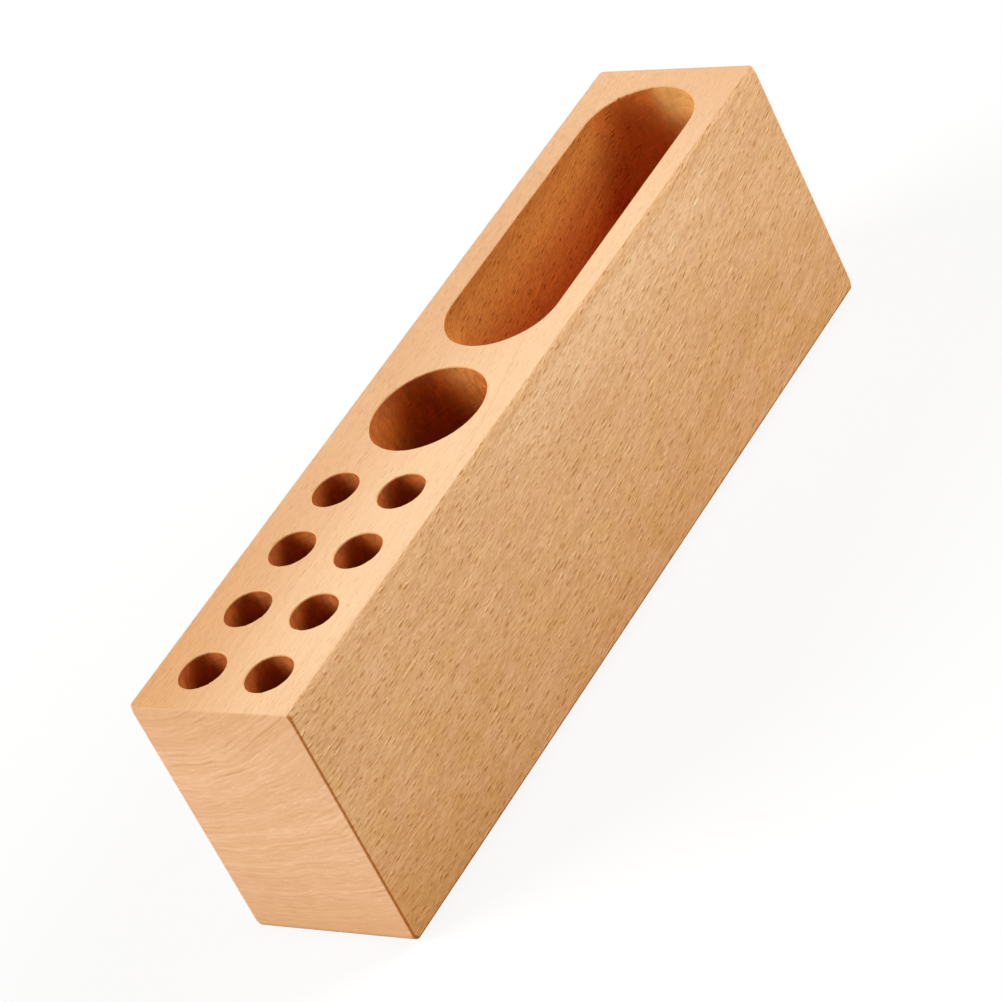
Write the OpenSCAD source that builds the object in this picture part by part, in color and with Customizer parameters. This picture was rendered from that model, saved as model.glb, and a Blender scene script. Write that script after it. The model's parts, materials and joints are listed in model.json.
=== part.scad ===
// Desk block for pens: one length of solid beech, drilled and routed from above,
// standing on four self-adhesive rubber pads.
// Millimetres, Z up. The origin is on the desk, under the middle of the block.
// X runs along the block from the pen holes to the slot, Y across it.

/* [Block] */
// Length of the block
block_len = 248; // [240:1:300]
// Width of the block
block_w = 50; // [48:1:60]
// Height of the wood alone, without the pads
block_h = 75; // [60:1:100]
// Radius of the sanded edges and corners
edge_r = 1.2; // [0.6:0.1:3]

/* [Openings] */
// Wood left between the openings, and between them and the long sides
wall = 8.2; // [6:0.1:9]
// Wood left between the first pen holes and their end of the block
pen_end_wall = 7; // [6:0.5:10]
// Diameter of a pen hole
pen_d = 13; // [10:0.5:14]
// Pen holes in each of the two rows
pen_cols = 4; // [2:1:4]
// Wood left under a pen hole
pen_floor_t = 15; // [8:1:25]
// Width of the chamfer that breaks the rim of a pen hole
pen_rim = 0.4; // [0.2:0.1:0.6]
// Diameter of the wide round hole
cup_d = 32; // [26:1:34]
// Overall length of the slot
slot_len = 106.4; // [90:0.1:108]
// Wood left under the wide hole and the slot
wide_floor_t = 20; // [8:1:25]
// Width of the chamfer that breaks the rims of the wide hole and the slot
wide_rim = 0.6; // [0.2:0.1:1]

/* [Pads] */
// Diameter of a pad
pad_d = 12; // [8:1:16]
// Thickness of a pad
pad_t = 1.5; // [1:0.5:3]
// Distance from the sides of the block to the centre of a pad
pad_inset = 12; // [10:1:16]
// Width of the moulded chamfer round the lower face of a pad
pad_c = 0.4; // [0.2:0.1:0.6]

/* [Hidden] */
$fn = 96;
// How far a cutter runs out above the top face
over = 1;
base_z = pad_t;
top_z = base_z + block_h;

// The openings fill the length from the slot's end back to the pen holes' end, one wall apart
slot_w = block_w - 2 * wall;
slot_x = block_len / 2 - wall - slot_len / 2;
cup_x = slot_x - slot_len / 2 - wall - cup_d / 2;
pen_x_last = cup_x - cup_d / 2 - wall - pen_d / 2;
pen_x_first = -block_len / 2 + pen_end_wall + pen_d / 2;
pen_pitch = (pen_x_last - pen_x_first) / (pen_cols - 1);
pen_y = block_w / 2 - wall - pen_d / 2;

pad_x = block_len / 2 - pad_inset;
pad_y = block_w / 2 - pad_inset;
pad_places = [for (y = [-pad_y, pad_y], x = [-pad_x, pad_x]) [x, y, 0]];

// Rectangle about the origin with round corners
module rounded_rect(w, h, r) {
    square([w - 2 * r, h], center = true);
    square([w, h - 2 * r], center = true);
    for (x = [-1, 1], y = [-1, 1])
        translate([x * (w / 2 - r), y * (h / 2 - r)]) circle(r);
}

// Upright corner of a rounded block: a cylinder that ends in two half balls
module corner_post(h, r) {
    rotate_extrude()
        intersection() {
            union() {
                translate([0, r]) square([r, h - 2 * r]);
                translate([0, r]) circle(r);
                translate([0, h - r]) circle(r);
            }
            square([r, h]);
        }
}

// Block on z = 0 with every edge and corner rounded: two crossing slabs and four corner posts
module rounded_block(l, w, h, r) {
    translate([0, 0, h / 2]) rotate([90, 0, 0])
        linear_extrude(w - 2 * r, center = true) rounded_rect(l, h, r);
    translate([0, 0, h / 2]) rotate([90, 0, 90])
        linear_extrude(l - 2 * r, center = true) rounded_rect(w, h, r);
    for (x = [-1, 1], y = [-1, 1])
        translate([x * (l / 2 - r), y * (w / 2 - r), 0]) corner_post(h, r);
}

// Cutter for a flat-bottomed round pocket with a chamfered rim
module round_pocket(d, floor_t, rim) {
    floor_z = base_z + floor_t;
    translate([0, 0, floor_z]) cylinder(h = top_z + over - floor_z, d = d);
    translate([0, 0, top_z - rim])
        cylinder(h = rim + over, d1 = d, d2 = d + 2 * (rim + over));
}

// Cutter for the slot: a round pocket at each end and an extruded section between them
module slot_pocket(l, w, floor_t, rim) {
    run = l - w;
    floor_z = base_z + floor_t;
    mouth = w / 2 + rim + over;
    for (x = [-run / 2, run / 2])
        translate([x, 0, 0]) round_pocket(w, floor_t, rim);
    rotate([90, 0, 90]) linear_extrude(run, center = true)
        polygon([
            [-w / 2, floor_z], [w / 2, floor_z],
            [w / 2, top_z - rim], [mouth, top_z + over],
            [-mouth, top_z + over], [-w / 2, top_z - rim]
        ]);
}

module block() {
    color([0.88, 0.69, 0.48])
        difference() {
            translate([0, 0, base_z]) rounded_block(block_len, block_w, block_h, edge_r);
            for (col = [0:pen_cols - 1], y = [-pen_y, pen_y])
                translate([pen_x_first + col * pen_pitch, y, 0])
                    round_pocket(pen_d, pen_floor_t, pen_rim);
            translate([cup_x, 0, 0]) round_pocket(cup_d, wide_floor_t, wide_rim);
            translate([slot_x, 0, 0]) slot_pocket(slot_len, slot_w, wide_floor_t, wide_rim);
        }
}

module foot_pad(place) {
    color([0.16, 0.15, 0.14])
        translate(place)
            rotate_extrude()
                polygon([
                    [0, 0], [pad_d / 2 - pad_c, 0], [pad_d / 2, pad_c],
                    [pad_d / 2, pad_t], [0, pad_t]
                ]);
}

block();
for (i = [1:len(pad_places)])
    foot_pad(pad_places[i - 1]);
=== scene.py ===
"""Looks for a solid beech desk block for pens: the wood, the rubber pads under it and a plain studio."""
import json
import math

import bmesh
import bpy
from bpy.props import FloatProperty, FloatVectorProperty, IntProperty, PointerProperty
from mathutils import Matrix, Quaternion, Vector, noise


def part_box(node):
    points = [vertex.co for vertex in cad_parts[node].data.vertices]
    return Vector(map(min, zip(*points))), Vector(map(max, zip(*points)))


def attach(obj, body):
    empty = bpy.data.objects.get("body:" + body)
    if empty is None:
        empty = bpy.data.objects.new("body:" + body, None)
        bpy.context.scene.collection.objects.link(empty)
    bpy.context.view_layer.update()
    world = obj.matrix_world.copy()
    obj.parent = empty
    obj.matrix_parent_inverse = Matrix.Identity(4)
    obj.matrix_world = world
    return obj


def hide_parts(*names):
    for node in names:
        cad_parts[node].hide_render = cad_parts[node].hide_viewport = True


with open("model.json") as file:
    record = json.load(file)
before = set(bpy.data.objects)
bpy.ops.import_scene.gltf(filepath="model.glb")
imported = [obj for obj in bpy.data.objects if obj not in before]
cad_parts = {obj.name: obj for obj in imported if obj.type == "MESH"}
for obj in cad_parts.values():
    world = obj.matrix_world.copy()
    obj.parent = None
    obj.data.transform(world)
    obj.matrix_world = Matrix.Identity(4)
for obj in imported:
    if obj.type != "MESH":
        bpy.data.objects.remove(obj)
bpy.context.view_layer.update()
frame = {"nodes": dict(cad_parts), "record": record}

bl_info = {
    "name": "Beech Pen Block",
    "version": (1, 0, 0),
    "blender": (4, 5, 0),
    "location": "View3D > Sidebar > Pen Block",
    "description": "A drilled and routed beech block for pens, with its rubber pads and a studio",
    "category": "Add Mesh",
}

MM = 0.001
BODY = "root"
MOUNTS = {mount["name"]: mount for mount in frame["record"]["mounts"]}
OPENINGS = {opening["name"]: opening for opening in frame["record"]["physics"]["openings"]}
PAD_NODES = sorted(name for name in frame["nodes"] if name.startswith("foot_pad_"))


def bore_floor(name):
    """Height of a stated bore's floor."""
    mount = MOUNTS[name]
    return mount["pos_m"][2] - mount["dims"]["length_mm"] * MM / 2


def hole_centre(name):
    """Middle of an opening in plan, from its mount or from the box that is kept clear in it."""
    if name in MOUNTS:
        return Vector(MOUNTS[name]["pos_m"][:2])
    low, high = (Vector(corner[:2]) for corner in OPENINGS[name]["box_m"])
    return (low + high) / 2


def side_wall():
    """Wood between a pen hole and the long side, which is also left round the slot."""
    mount = MOUNTS["pen_hole_1"]
    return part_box("block")[1].y - abs(mount["pos_m"][1]) - mount["dims"]["r_mm"] * MM


def slot_size():
    """Length and width of the slot, from its middle and from the wood left round it."""
    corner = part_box("block")[1].xy - Vector((side_wall(), side_wall()))
    return 2 * (corner - hole_centre("slot"))


def length(label, description, default):
    """A length property, in metres."""
    return FloatProperty(name=label, description=description, default=default,
                         unit="LENGTH", precision=5)


def colour(label, description, default):
    """A colour property, in linear light."""
    return FloatVectorProperty(name=label, description=description, default=default,
                               subtype="COLOR", size=3, min=0.0, max=1.0)


def amount(label, description, default, **more):
    """A number property, which is plain unless a unit is given."""
    return FloatProperty(name=label, description=description, default=default, **more)


class BlockSizes(bpy.types.PropertyGroup):
    """What is cut into the block, and how its edges are broken."""

    slot_length: length("Slot length", "Overall length of the slot", slot_size().x)
    slot_width: length("Slot width", "Width of the slot", slot_size().y)
    pen_diameter: length("Pen hole", "Diameter of a pen hole",
                         2 * MOUNTS["pen_hole_1"]["dims"]["r_mm"] * MM)
    cup_diameter: length("Wide hole", "Diameter of the wide round hole",
                         2 * MOUNTS["cup_hole"]["dims"]["r_mm"] * MM)
    pen_floor: length("Pen hole floor", "Height of a pen hole's floor", bore_floor("pen_hole_1"))
    wide_floor: length("Wide floor", "Height of the floors of the wide hole and the slot",
                       bore_floor("cup_hole"))
    front_edge: length("Front edge", "Radius of the upper edge on the front", 1.1 * MM)
    near_edge: length("Pen hole edge", "Radius of the upper edge on the pen hole end", 0.45 * MM)
    far_edge: length("Back edges", "Radius of the upper edges on the back and the far end", 1.0 * MM)
    near_upright: length("Front upright",
                         "Radius of the upright edge at the front and of the one opposite", 0.75 * MM)
    far_upright: length("Other uprights", "Radius of the other upright edges", 1.3 * MM)
    side_foot: length("Lower edges", "Radius of the long edges round the underside", 1.0 * MM)
    end_foot: length("Lower end edges", "Radius of the short edges round the underside", 2.2 * MM)
    near_corner: length("Front corner", "Radius in plan of the upper corner at the front", 1.25 * MM)
    far_corner: length("Other corners",
                       "Radius in plan of the other corners, where sanding takes most", 1.8 * MM)
    corner_reach: length("Corner reach",
                         "How far a rounded corner runs along its upright edge", 2.4 * MM)
    drilled_rim: length("Drilled rims", "Radius of the rims of the round holes", 0.22 * MM)
    slot_rim: length("Slot rim", "Radius of the rim of the slot", 0.45 * MM)
    rim_ripple: length("Rim ripple", "How uneven the rims are left by the cutter", 0.10 * MM)
    drilled_chip: length("Drilled chips", "Depth of the chips torn out of the drilled rims", 0.4 * MM)
    slot_chip: length("Slot chips", "Depth of the chips torn out of the slot's rim", 1.2 * MM)


class BeechFinish(bpy.types.PropertyGroup):
    """Figure and colours of the beech, and the painted light and shade on it."""

    heart_y: length("Heart", "Where the heart of the tree lay, across the block", 25 * MM)
    ring_curve: amount("Ring curve", "Bend of the growth rings at desk height, per millimetre",
                       -0.00074, precision=6)
    ring_gain: amount("Ring gain", "How much that bend grows with each millimetre of height",
                      0.000145, precision=6)
    lean: amount("Grain lean", "Rise of the fibres along the block, at its middle", 0.105)
    bow: amount("Grain bow", "Half the change of that rise per millimetre", 0.0005)
    ring_width: length("Ring width", "Mean width of a growth ring", 1.9 * MM)
    ring_depth: amount("Ring depth", "How dark the late wood of a ring is", 0.20, min=0.0, max=1.0)
    top_colour: colour("Top", "Wood along the grain, on the planed top", (0.818, 0.472, 0.252))
    top_warm: colour("Warm top", "Warmer wood at the back of the top, by the pen holes",
                     (0.761, 0.404, 0.183))
    # Painted light: makes the top paler towards the front
    top_painted_light: colour("Pale top", "Paler sapwood towards the front of the top", (0.965, 0.636, 0.376))
    side_colour: colour("Sides", "Wood along the grain on the long sides", (0.862, 0.510, 0.243))
    # Painted light: paler long sides high up
    side_painted_light: colour("Pale sides", "Paler wood of the long sides, high up", (0.955, 0.593, 0.324))
    # Warm clouds of the wood, and painted shade low down on the long sides
    warm_wood_and_shade: colour("Warm wood", "Warmer wood, low down and in patches", (0.750, 0.394, 0.146))
    # Painted shade: darker long sides low down at the pen hole end
    low_end_shade: colour("Amber", "Deeper wood low down at the pen hole end", (0.667, 0.324, 0.106))
    blush_colour: colour("Blush", "Rosy patches of the long grain", (0.852, 0.463, 0.269))
    end_colour: colour("End grain", "Wood across the grain", (0.905, 0.535, 0.30))
    end_warm: colour("Warm end grain", "Wood across the grain, near the top and the underside",
                     (0.85, 0.48, 0.25))
    fleck_colour: colour("Flecks", "Tint of the ray flecks", (0.71, 0.54, 0.32))
    fleck_cut: colour("Cut flecks", "Tint of the ray flecks on the pocket walls", (0.62, 0.40, 0.27))
    # Painted shade of the pockets: the tints below darken their walls and floors, most well below the rims
    routed_colour: colour("Routed walls", "Tint of the slot's walls, just below the rim",
                          (0.64, 0.37, 0.12))
    routed_deep_shade: colour("Deep routed walls", "Tint of the slot's walls, well below the rim",
                        (0.86, 0.31, 0.070))
    routed_end: colour("Routed end grain", "Tint of the slot's walls across the grain",
                       (0.86, 0.80, 0.45))
    # Painted shade: redder slot walls where they face away from both lights
    routed_slant_shade: colour("Slanted routed walls", "Tint of the slot's walls at a slant to the fibres",
                         (0.84, 0.40, 0.125))
    drilled_colour: colour("Drilled walls", "Tint of the drilled walls, just below the rims",
                           (0.59, 0.27, 0.10))
    # Painted shade: drilled walls darker well below the rims
    drilled_deep_shade: colour("Deep drilled walls", "Tint of the drilled walls, burnished by the drill",
                         (0.56, 0.225, 0.04))
    drilled_end: colour("Drilled end grain", "Tint of the drilled walls across the grain",
                        (0.68, 0.39, 0.145))
    pen_colour: colour("Pen hole walls", "Tint of the pen holes' walls, just below the rims",
                       (0.87, 0.73, 0.80))
    # Painted shade: darker, redder drilled walls where they face away from both lights
    slant_shade_colour: colour("Burnt walls", "Tint where the drill met the fibres at a slant",
                         (0.93, 0.67, 0.34))
    # Painted shade, milder, on the pockets' floors
    floor_colour: colour("Pocket floors", "Tint of the flat floors of the pockets", (0.82, 0.60, 0.38))
    rim_colour: colour("Rims", "Raw wood on the broken rims", (0.92, 0.51, 0.21))
    # Painted shade: darker upright edges where they face away from both lights
    upright_shade_colour: colour("Upright edges", "Tint of the upright edges, where end grain soaks up oil",
                           (1.0, 0.62, 0.28))
    # Painted shade: darker long lower edges, which face down
    lower_edge_shade: colour("Lower edges", "Tint of the long lower edges", (0.48, 0.30, 0.19))
    roughness: amount("Roughness", "Roughness of the oiled surface", 0.68, min=0.0, max=1.0)


class PadFinish(bpy.types.PropertyGroup):
    """Shape and colour of the rubber pads."""

    dome: length("Dome", "How far the middle of a pad's lower face is below its edge", 0.15 * MM)
    rubber_colour: colour("Rubber", "Colour of the rubber", (0.035, 0.033, 0.031))
    dust_colour: colour("Dust", "Colour of the dust on the rubber", (0.11, 0.10, 0.09))


class StudioSettings(bpy.types.PropertyGroup):
    """Camera, lights and floor."""

    azimuth: amount("Azimuth", "Camera's turn about the vertical", math.radians(-44.097),
                    unit="ROTATION")
    elevation: amount("Elevation", "Camera's height angle", math.radians(32.341), unit="ROTATION")
    roll: amount("Roll", "Camera's turn about its own axis", math.radians(-27.502), unit="ROTATION")
    distance: length("Distance", "From the camera to the point it looks at", 1211.6 * MM)
    aim: FloatVectorProperty(name="Aim", description="Point that the camera looks at",
                             default=(-4.66 * MM, 2.54 * MM, 36.76 * MM), subtype="XYZ", unit="LENGTH")
    lens: amount("Lens", "Focal length in millimetres", 171.6)
    floor_size: length("Floor size", "Side of the square floor", 6.0)
    floor_glow: amount("Floor glow", "Share of the floor's look that is plain white, near the block",
                       0.85, min=0.0, max=1.0)
    ambient: amount("Ambient", "Strength of the light from all round", 0.20)
    left_power: amount("Left light", "Power of the large light on the end", 69.3, unit="POWER")
    right_power: amount("Right light", "Power of the large light on the long side", 60.8, unit="POWER")
    light_colour: colour("Light", "Colour of the lights", (1.0, 0.99, 0.976))


class PenBlockSettings(bpy.types.PropertyGroup):
    """Everything that a user may change."""

    sizes: PointerProperty(type=BlockSizes)
    beech: PointerProperty(type=BeechFinish)
    pads: PointerProperty(type=PadFinish)
    studio: PointerProperty(type=StudioSettings)
    arc_steps: IntProperty(name="Arc steps", description="Steps in the rounding of an edge",
                           default=5, min=2)


# Mesh helpers

class Outline:
    """A closed line in plan: a rounded rectangle, which is a slot or a circle where its corners meet."""

    def __init__(self, centre, half_x, half_y, corner):
        """The corner radius is a number, or a function of the direction that a vertex faces."""
        self.centre = centre
        self.half_x = half_x
        self.half_y = half_y
        self.corner = corner if callable(corner) else lambda way: corner

    def place(self, verts, facing, inset, z):
        """Puts each vertex where its direction meets the line.

        Inset and height are functions of that direction.
        """
        for vert in verts:
            way = facing[vert]
            corner = self.corner(way)
            middle_x = math.copysign(self.half_x - corner, way.x)
            middle_y = math.copysign(self.half_y - corner, way.y)
            reach = corner - inset(way)
            vert.co = (self.centre.x + middle_x + reach * way.x,
                       self.centre.y + middle_y + reach * way.y, z(way))


def blend(first, second, share):
    """A value between two others, with the share held between 0 and 1."""
    return first + (second - first) * min(1.0, max(0.0, share))


def start_ring(bm, segments, facing):
    """A loose ring of vertices that each know which way they face. None lies on an axis."""
    made = bmesh.ops.create_circle(bm, cap_ends=False, segments=segments, radius=1.0,
                                   matrix=Matrix.Rotation(math.pi / segments, 4, "Z"))
    for vert in made["verts"]:
        facing[vert] = vert.co.xy.normalized()
    return made["verts"], list({edge for vert in made["verts"] for edge in vert.link_edges})


def next_ring(bm, edges, facing):
    """Extrudes a ring once. The new vertices face as the old ones do."""
    old = {vert for edge in edges for vert in edge.verts}
    made = bmesh.ops.extrude_edge_only(bm, edges=edges)["geom"]
    verts = [item for item in made if isinstance(item, bmesh.types.BMVert)]
    for vert in verts:
        source = next(edge.other_vert(vert) for edge in vert.link_edges if edge.other_vert(vert) in old)
        facing[vert] = facing[source]
    new = set(verts)
    loop = [item for item in made if isinstance(item, bmesh.types.BMEdge) and set(item.verts) <= new]
    return verts, loop


def quarter_round(steps):
    """(inset, drop) down an edge rounded to a radius of 1, from the flat above it to the wall below."""
    turns = [math.pi / 2 * step / steps for step in range(steps + 1)]
    return [(1 - math.sin(turn), 1 - math.cos(turn)) for turn in turns]


def cap(bm, loop):
    """Closes a ring with one flat face, and keeps the edge round it sharp."""
    bmesh.ops.edgeloop_fill(bm, edges=loop)
    for edge in loop:
        edge.smooth = False


def finish_piece(bm, name, material, slot, *nodes):
    """Turns a bmesh into a piece that rides on the block and stands for its solid."""
    bmesh.ops.recalc_face_normals(bm, faces=bm.faces)
    for face in bm.faces:
        face.smooth = True
    mesh = bpy.data.meshes.new(name)
    bm.to_mesh(mesh)
    bm.free()
    mesh.materials.append(material)
    piece = bpy.data.objects.new(name, mesh)
    bpy.context.scene.collection.objects.link(piece)
    shading = piece.modifiers.new("even_shading", "WEIGHTED_NORMAL")
    shading.keep_sharp = True
    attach(piece, BODY)
    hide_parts(*nodes)
    return piece


# Node helpers

# A Mix node has sockets for every kind of value. These are the ones for numbers and for colours.
MIX_FACTOR = 0
MIX_NUMBERS = slice(2, 4)
MIX_COLOURS = slice(6, 8)
NUMBER_RESULT = 0
COLOUR_RESULT = 2
# Middle of a noise, which runs from 0 to 1
MEAN = 0.5


class Bench:
    """Adds nodes to a tree. An input is a number, a colour or another node's output."""

    def __init__(self, tree):
        self.tree = tree

    def node(self, kind, **settings):
        """A new node."""
        made = self.tree.nodes.new(kind)
        for key, value in settings.items():
            setattr(made, key, value)
        return made

    def feed(self, socket, value):
        """Links an output to an input, or sets the input to a constant."""
        if isinstance(value, bpy.types.NodeSocket):
            self.tree.links.new(value, socket)
        else:
            socket.default_value = value

    def feed_all(self, sockets, values):
        """Feeds several inputs in turn."""
        for socket, value in zip(sockets, values):
            self.feed(socket, value)

    def math(self, operation, *values):
        """One step of arithmetic."""
        made = self.node("ShaderNodeMath", operation=operation)
        self.feed_all(made.inputs, values)
        return made.outputs[0]

    def times(self, first, *others):
        """All the values multiplied together."""
        product = first
        for value in others:
            product = self.math("MULTIPLY", product, value)
        return product

    def line(self, value, slope, start):
        """The value times the slope, plus the start."""
        return self.math("MULTIPLY_ADD", value, slope, start)

    def split(self, vector):
        """The three parts of a vector."""
        made = self.node("ShaderNodeSeparateXYZ")
        self.feed(made.inputs[0], vector)
        return made.outputs

    def join(self, *parts):
        """A vector from its three parts."""
        made = self.node("ShaderNodeCombineXYZ")
        self.feed_all(made.inputs, parts)
        return made.outputs[0]

    def stretch(self, vector, by):
        """A vector with each part multiplied."""
        made = self.node("ShaderNodeVectorMath", operation="MULTIPLY")
        self.feed_all(made.inputs, (vector, by))
        return made.outputs[0]

    def ramp(self, value, low, high, out_low=0.0, out_high=1.0):
        """A smooth step from one value to another."""
        made = self.node("ShaderNodeMapRange", interpolation_type="SMOOTHSTEP")
        self.feed_all(made.inputs, (value, low, high, out_low, out_high))
        return made.outputs[0]

    def noise(self, vector, steps, octaves, rough=0.5):
        """Noise with so many steps to each unit of length."""
        made = self.node("ShaderNodeTexNoise")
        self.feed(made.inputs["Vector"], vector)
        made.inputs["Scale"].default_value = steps
        made.inputs["Detail"].default_value = octaves
        made.inputs["Roughness"].default_value = rough
        return made.outputs[0]

    def pattern(self, vector, steps, octaves, rough=0.5):
        """Noise that has its own steps to a unit of length in each direction."""
        return self.noise(self.stretch(vector, steps), 1.0, octaves, rough)

    def emboss(self, vector, steps, octaves, shift):
        """A pattern less itself moved to one side, so each dark stroke has a pale one beside it."""
        place = self.stretch(vector, steps)
        moved = self.node("ShaderNodeVectorMath", operation="ADD")
        self.feed_all(moved.inputs, (place, shift))
        rise = self.math("SUBTRACT", self.noise(place, 1.0, octaves),
                         self.noise(moved.outputs[0], 1.0, octaves))
        return self.math("ADD", rise, MEAN)

    def between(self, factor, first, second):
        """A number between two others."""
        made = self.node("ShaderNodeMix", data_type="FLOAT")
        self.feed(made.inputs[MIX_FACTOR], factor)
        self.feed_all(made.inputs[MIX_NUMBERS], (first, second))
        return made.outputs[NUMBER_RESULT]

    def mix(self, factor, first, second, mode="MIX"):
        """A colour made from two others."""
        made = self.node("ShaderNodeMix", data_type="RGBA", blend_type=mode, clamp_result=True)
        self.feed(made.inputs[MIX_FACTOR], factor)
        for socket, value in zip(made.inputs[MIX_COLOURS], (first, second)):
            self.feed(socket, value if isinstance(value, bpy.types.NodeSocket) else (*value, 1.0))
        return made.outputs[COLOUR_RESULT]

    def multiply(self, tone, by):
        """A colour multiplied by another."""
        return self.mix(1.0, tone, by, "MULTIPLY")

    def tint(self, factor, tone, by):
        """A colour multiplied by another as far as the factor says."""
        return self.mix(factor, tone, self.multiply(tone, by))

    def bump(self, height, strength, distance):
        """A normal that is tilted as a height would tilt it."""
        made = self.node("ShaderNodeBump")
        made.inputs["Strength"].default_value = strength
        made.inputs["Distance"].default_value = distance
        self.feed(made.inputs["Height"], height)
        return made.outputs[0]

    def group(self, tree, **inputs):
        """A node group's outputs. An underscore in an input's name stands for a space."""
        made = self.node("ShaderNodeGroup", node_tree=tree)
        for name, value in inputs.items():
            self.feed(made.inputs[name.replace("_", " ")], value)
        return made.outputs


def new_group(name, inputs, outputs):
    """An empty shader node group with its sockets: its tree, bench, inputs and output node's inputs."""
    tree = bpy.data.node_groups.new(name, "ShaderNodeTree")
    for label, kind in inputs.items():
        tree.interface.new_socket(label, in_out="INPUT", socket_type=kind)
    for label, kind in outputs.items():
        tree.interface.new_socket(label, in_out="OUTPUT", socket_type=kind)
    bench = Bench(tree)
    given = bench.node("NodeGroupInput").outputs
    result = bench.node("NodeGroupOutput").inputs
    return tree, bench, given, result


def new_material(name):
    """A plain material: itself, its bench, its Principled BSDF and its Texture Coordinate outputs."""
    material = bpy.data.materials.new(name)
    material.use_nodes = True
    bench = Bench(material.node_tree)
    surface = material.node_tree.nodes["Principled BSDF"]
    place = bench.node("ShaderNodeTexCoord").outputs
    return material, bench, surface, place


# Figure of the wood. Lengths in its node groups are in millimetres.

# Noise patterns: steps to a millimetre along, across and up the block, and octaves
WAVE = ((0.045, 0.06, 0.06), 2.0)
QUIVER = ((0.4, 0.8, 0.8), 1.0)
UNEVEN = ((0.004, 0.03, 0.03), 2.0)
RIPPLE = ((0.02, 0.22, 0.22), 1.0)
# How far the first two carry the fibres, and the others the growth rings
WAVE_REACH = 1.8
QUIVER_REACH = 0.6
UNEVEN_REACH = 6.0
RIPPLE_REACH = 0.2


def grain_space(beech):
    """Where a point lies in the tree: laid straight along the fibres, and about the heart."""
    tree, bench, given, result = new_group(
        "grain_space", {"Place": "NodeSocketVector"},
        {"Fibre": "NodeSocketVector", "Around": "NodeSocketFloat", "Radius": "NodeSocketFloat"})
    x, y, z = (bench.math("MULTIPLY", part, 1 / MM) for part in bench.split(given["Place"]))
    point = bench.join(x, y, z)
    height = bench.math("SUBTRACT", z, bench.times(x, bench.line(x, beech.bow, beech.lean)))
    wave = bench.line(bench.pattern(point, *WAVE), WAVE_REACH, -WAVE_REACH / 2)
    sway = bench.line(bench.pattern(point, *QUIVER), QUIVER_REACH, wave)
    bench.feed(result["Fibre"],
               bench.join(x, bench.math("ADD", y, sway), bench.math("ADD", height, sway)))

    across = bench.math("SUBTRACT", y, beech.heart_y / MM)
    bend = bench.math("POWER", across, 2.0)
    level = bench.math("DIVIDE", bench.line(bend, -beech.ring_curve, height),
                       bench.line(bend, beech.ring_gain, 1.0))
    ripple = bench.times(bench.pattern(point, *RIPPLE), RIPPLE_REACH)
    stray = bench.line(bench.pattern(point, *UNEVEN), UNEVEN_REACH, ripple)
    bench.feed(result["Around"], across)
    bench.feed(result["Radius"], bench.math("SUBTRACT", stray, level))
    return tree


# Unevenness of the rings' spacing: steps to a millimetre, and how many rings it shifts them by
SPACING_STEPS = 0.16
SPACING_RINGS = 3.0
# Ramps from a year's random number to how strong its line is, and over the end of the line
YEAR_STRENGTH = (0.3, 1.0, 0.15, 1.0)
LATE_END = (1.0, 0.92)
LATE_POWER = 2.5
# Patterns along a ring's radius and round it: gaps in its line, and fine strokes that come and go
GAPS = ((0.30, 0.07, 1.0), 2.0)
GAP_RAMP = (0.38, 0.62)
STROKES = ((1.1, 0.19, 1.0), 2.5)
STROKE_SHIFT = (0.5, 0.0, 0.0)
ZONE_STEPS = 0.07
ZONE_RAMP = (0.35, 0.65, 0.35, 1.0)


def growth_rings(beech):
    """Growth rings: uneven lines of late wood, a tone for each year and fine strokes."""
    tree, bench, given, result = new_group(
        "growth_rings", {"Around": "NodeSocketFloat", "Radius": "NodeSocketFloat"},
        {"Line": "NodeSocketFloat", "Tone": "NodeSocketFloat", "Stroke": "NodeSocketFloat"})
    uneven = bench.noise(bench.join(given["Radius"], 0.0, 0.0), SPACING_STEPS, 1.0)
    count = bench.line(uneven, SPACING_RINGS, bench.times(given["Radius"], MM / beech.ring_width))
    season = bench.math("FRACT", count)
    year = bench.node("ShaderNodeTexWhiteNoise", noise_dimensions="1D")
    bench.feed(year.inputs["W"], bench.math("FLOOR", count))
    strength = bench.ramp(year.outputs["Value"], *YEAR_STRENGTH)
    late = bench.times(bench.math("POWER", season, LATE_POWER), bench.ramp(season, *LATE_END))
    place = bench.join(given["Radius"], given["Around"], 0.0)
    broken = bench.ramp(bench.pattern(place, *GAPS), *GAP_RAMP)
    bench.feed(result["Line"], bench.times(late, strength, broken))
    bench.feed(result["Tone"], year.outputs["Value"])
    fine = bench.math("SUBTRACT", bench.emboss(place, *STROKES, STROKE_SHIFT), MEAN)
    zone = bench.ramp(bench.noise(place, ZONE_STEPS, 1.0), *ZONE_RAMP)
    bench.feed(result["Stroke"], bench.line(fine, zone, MEAN))
    return tree


# How squarely a face looks up to count as level, and what keeps the back from mirroring the front
LEVEL_FACING = 0.7
BACK_SHIFT = 53.7
# Slope and start of a fleck's length and width against random numbers, as shares of the mean ones
FLECK_LENGTHS = (1.1, 0.5)
FLECK_WIDTHS = (0.8, 0.6)
# Ramps from a random number to a fleck's strength, and from its edge inwards
FLECK_STRENGTH = (0.25, 1.0)
FLECK_FADE = (1.0, 0.4)
# How far above a fleck its painted highlight is, in half widths
HIGHLIGHT_LIFT = 1.6


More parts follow.
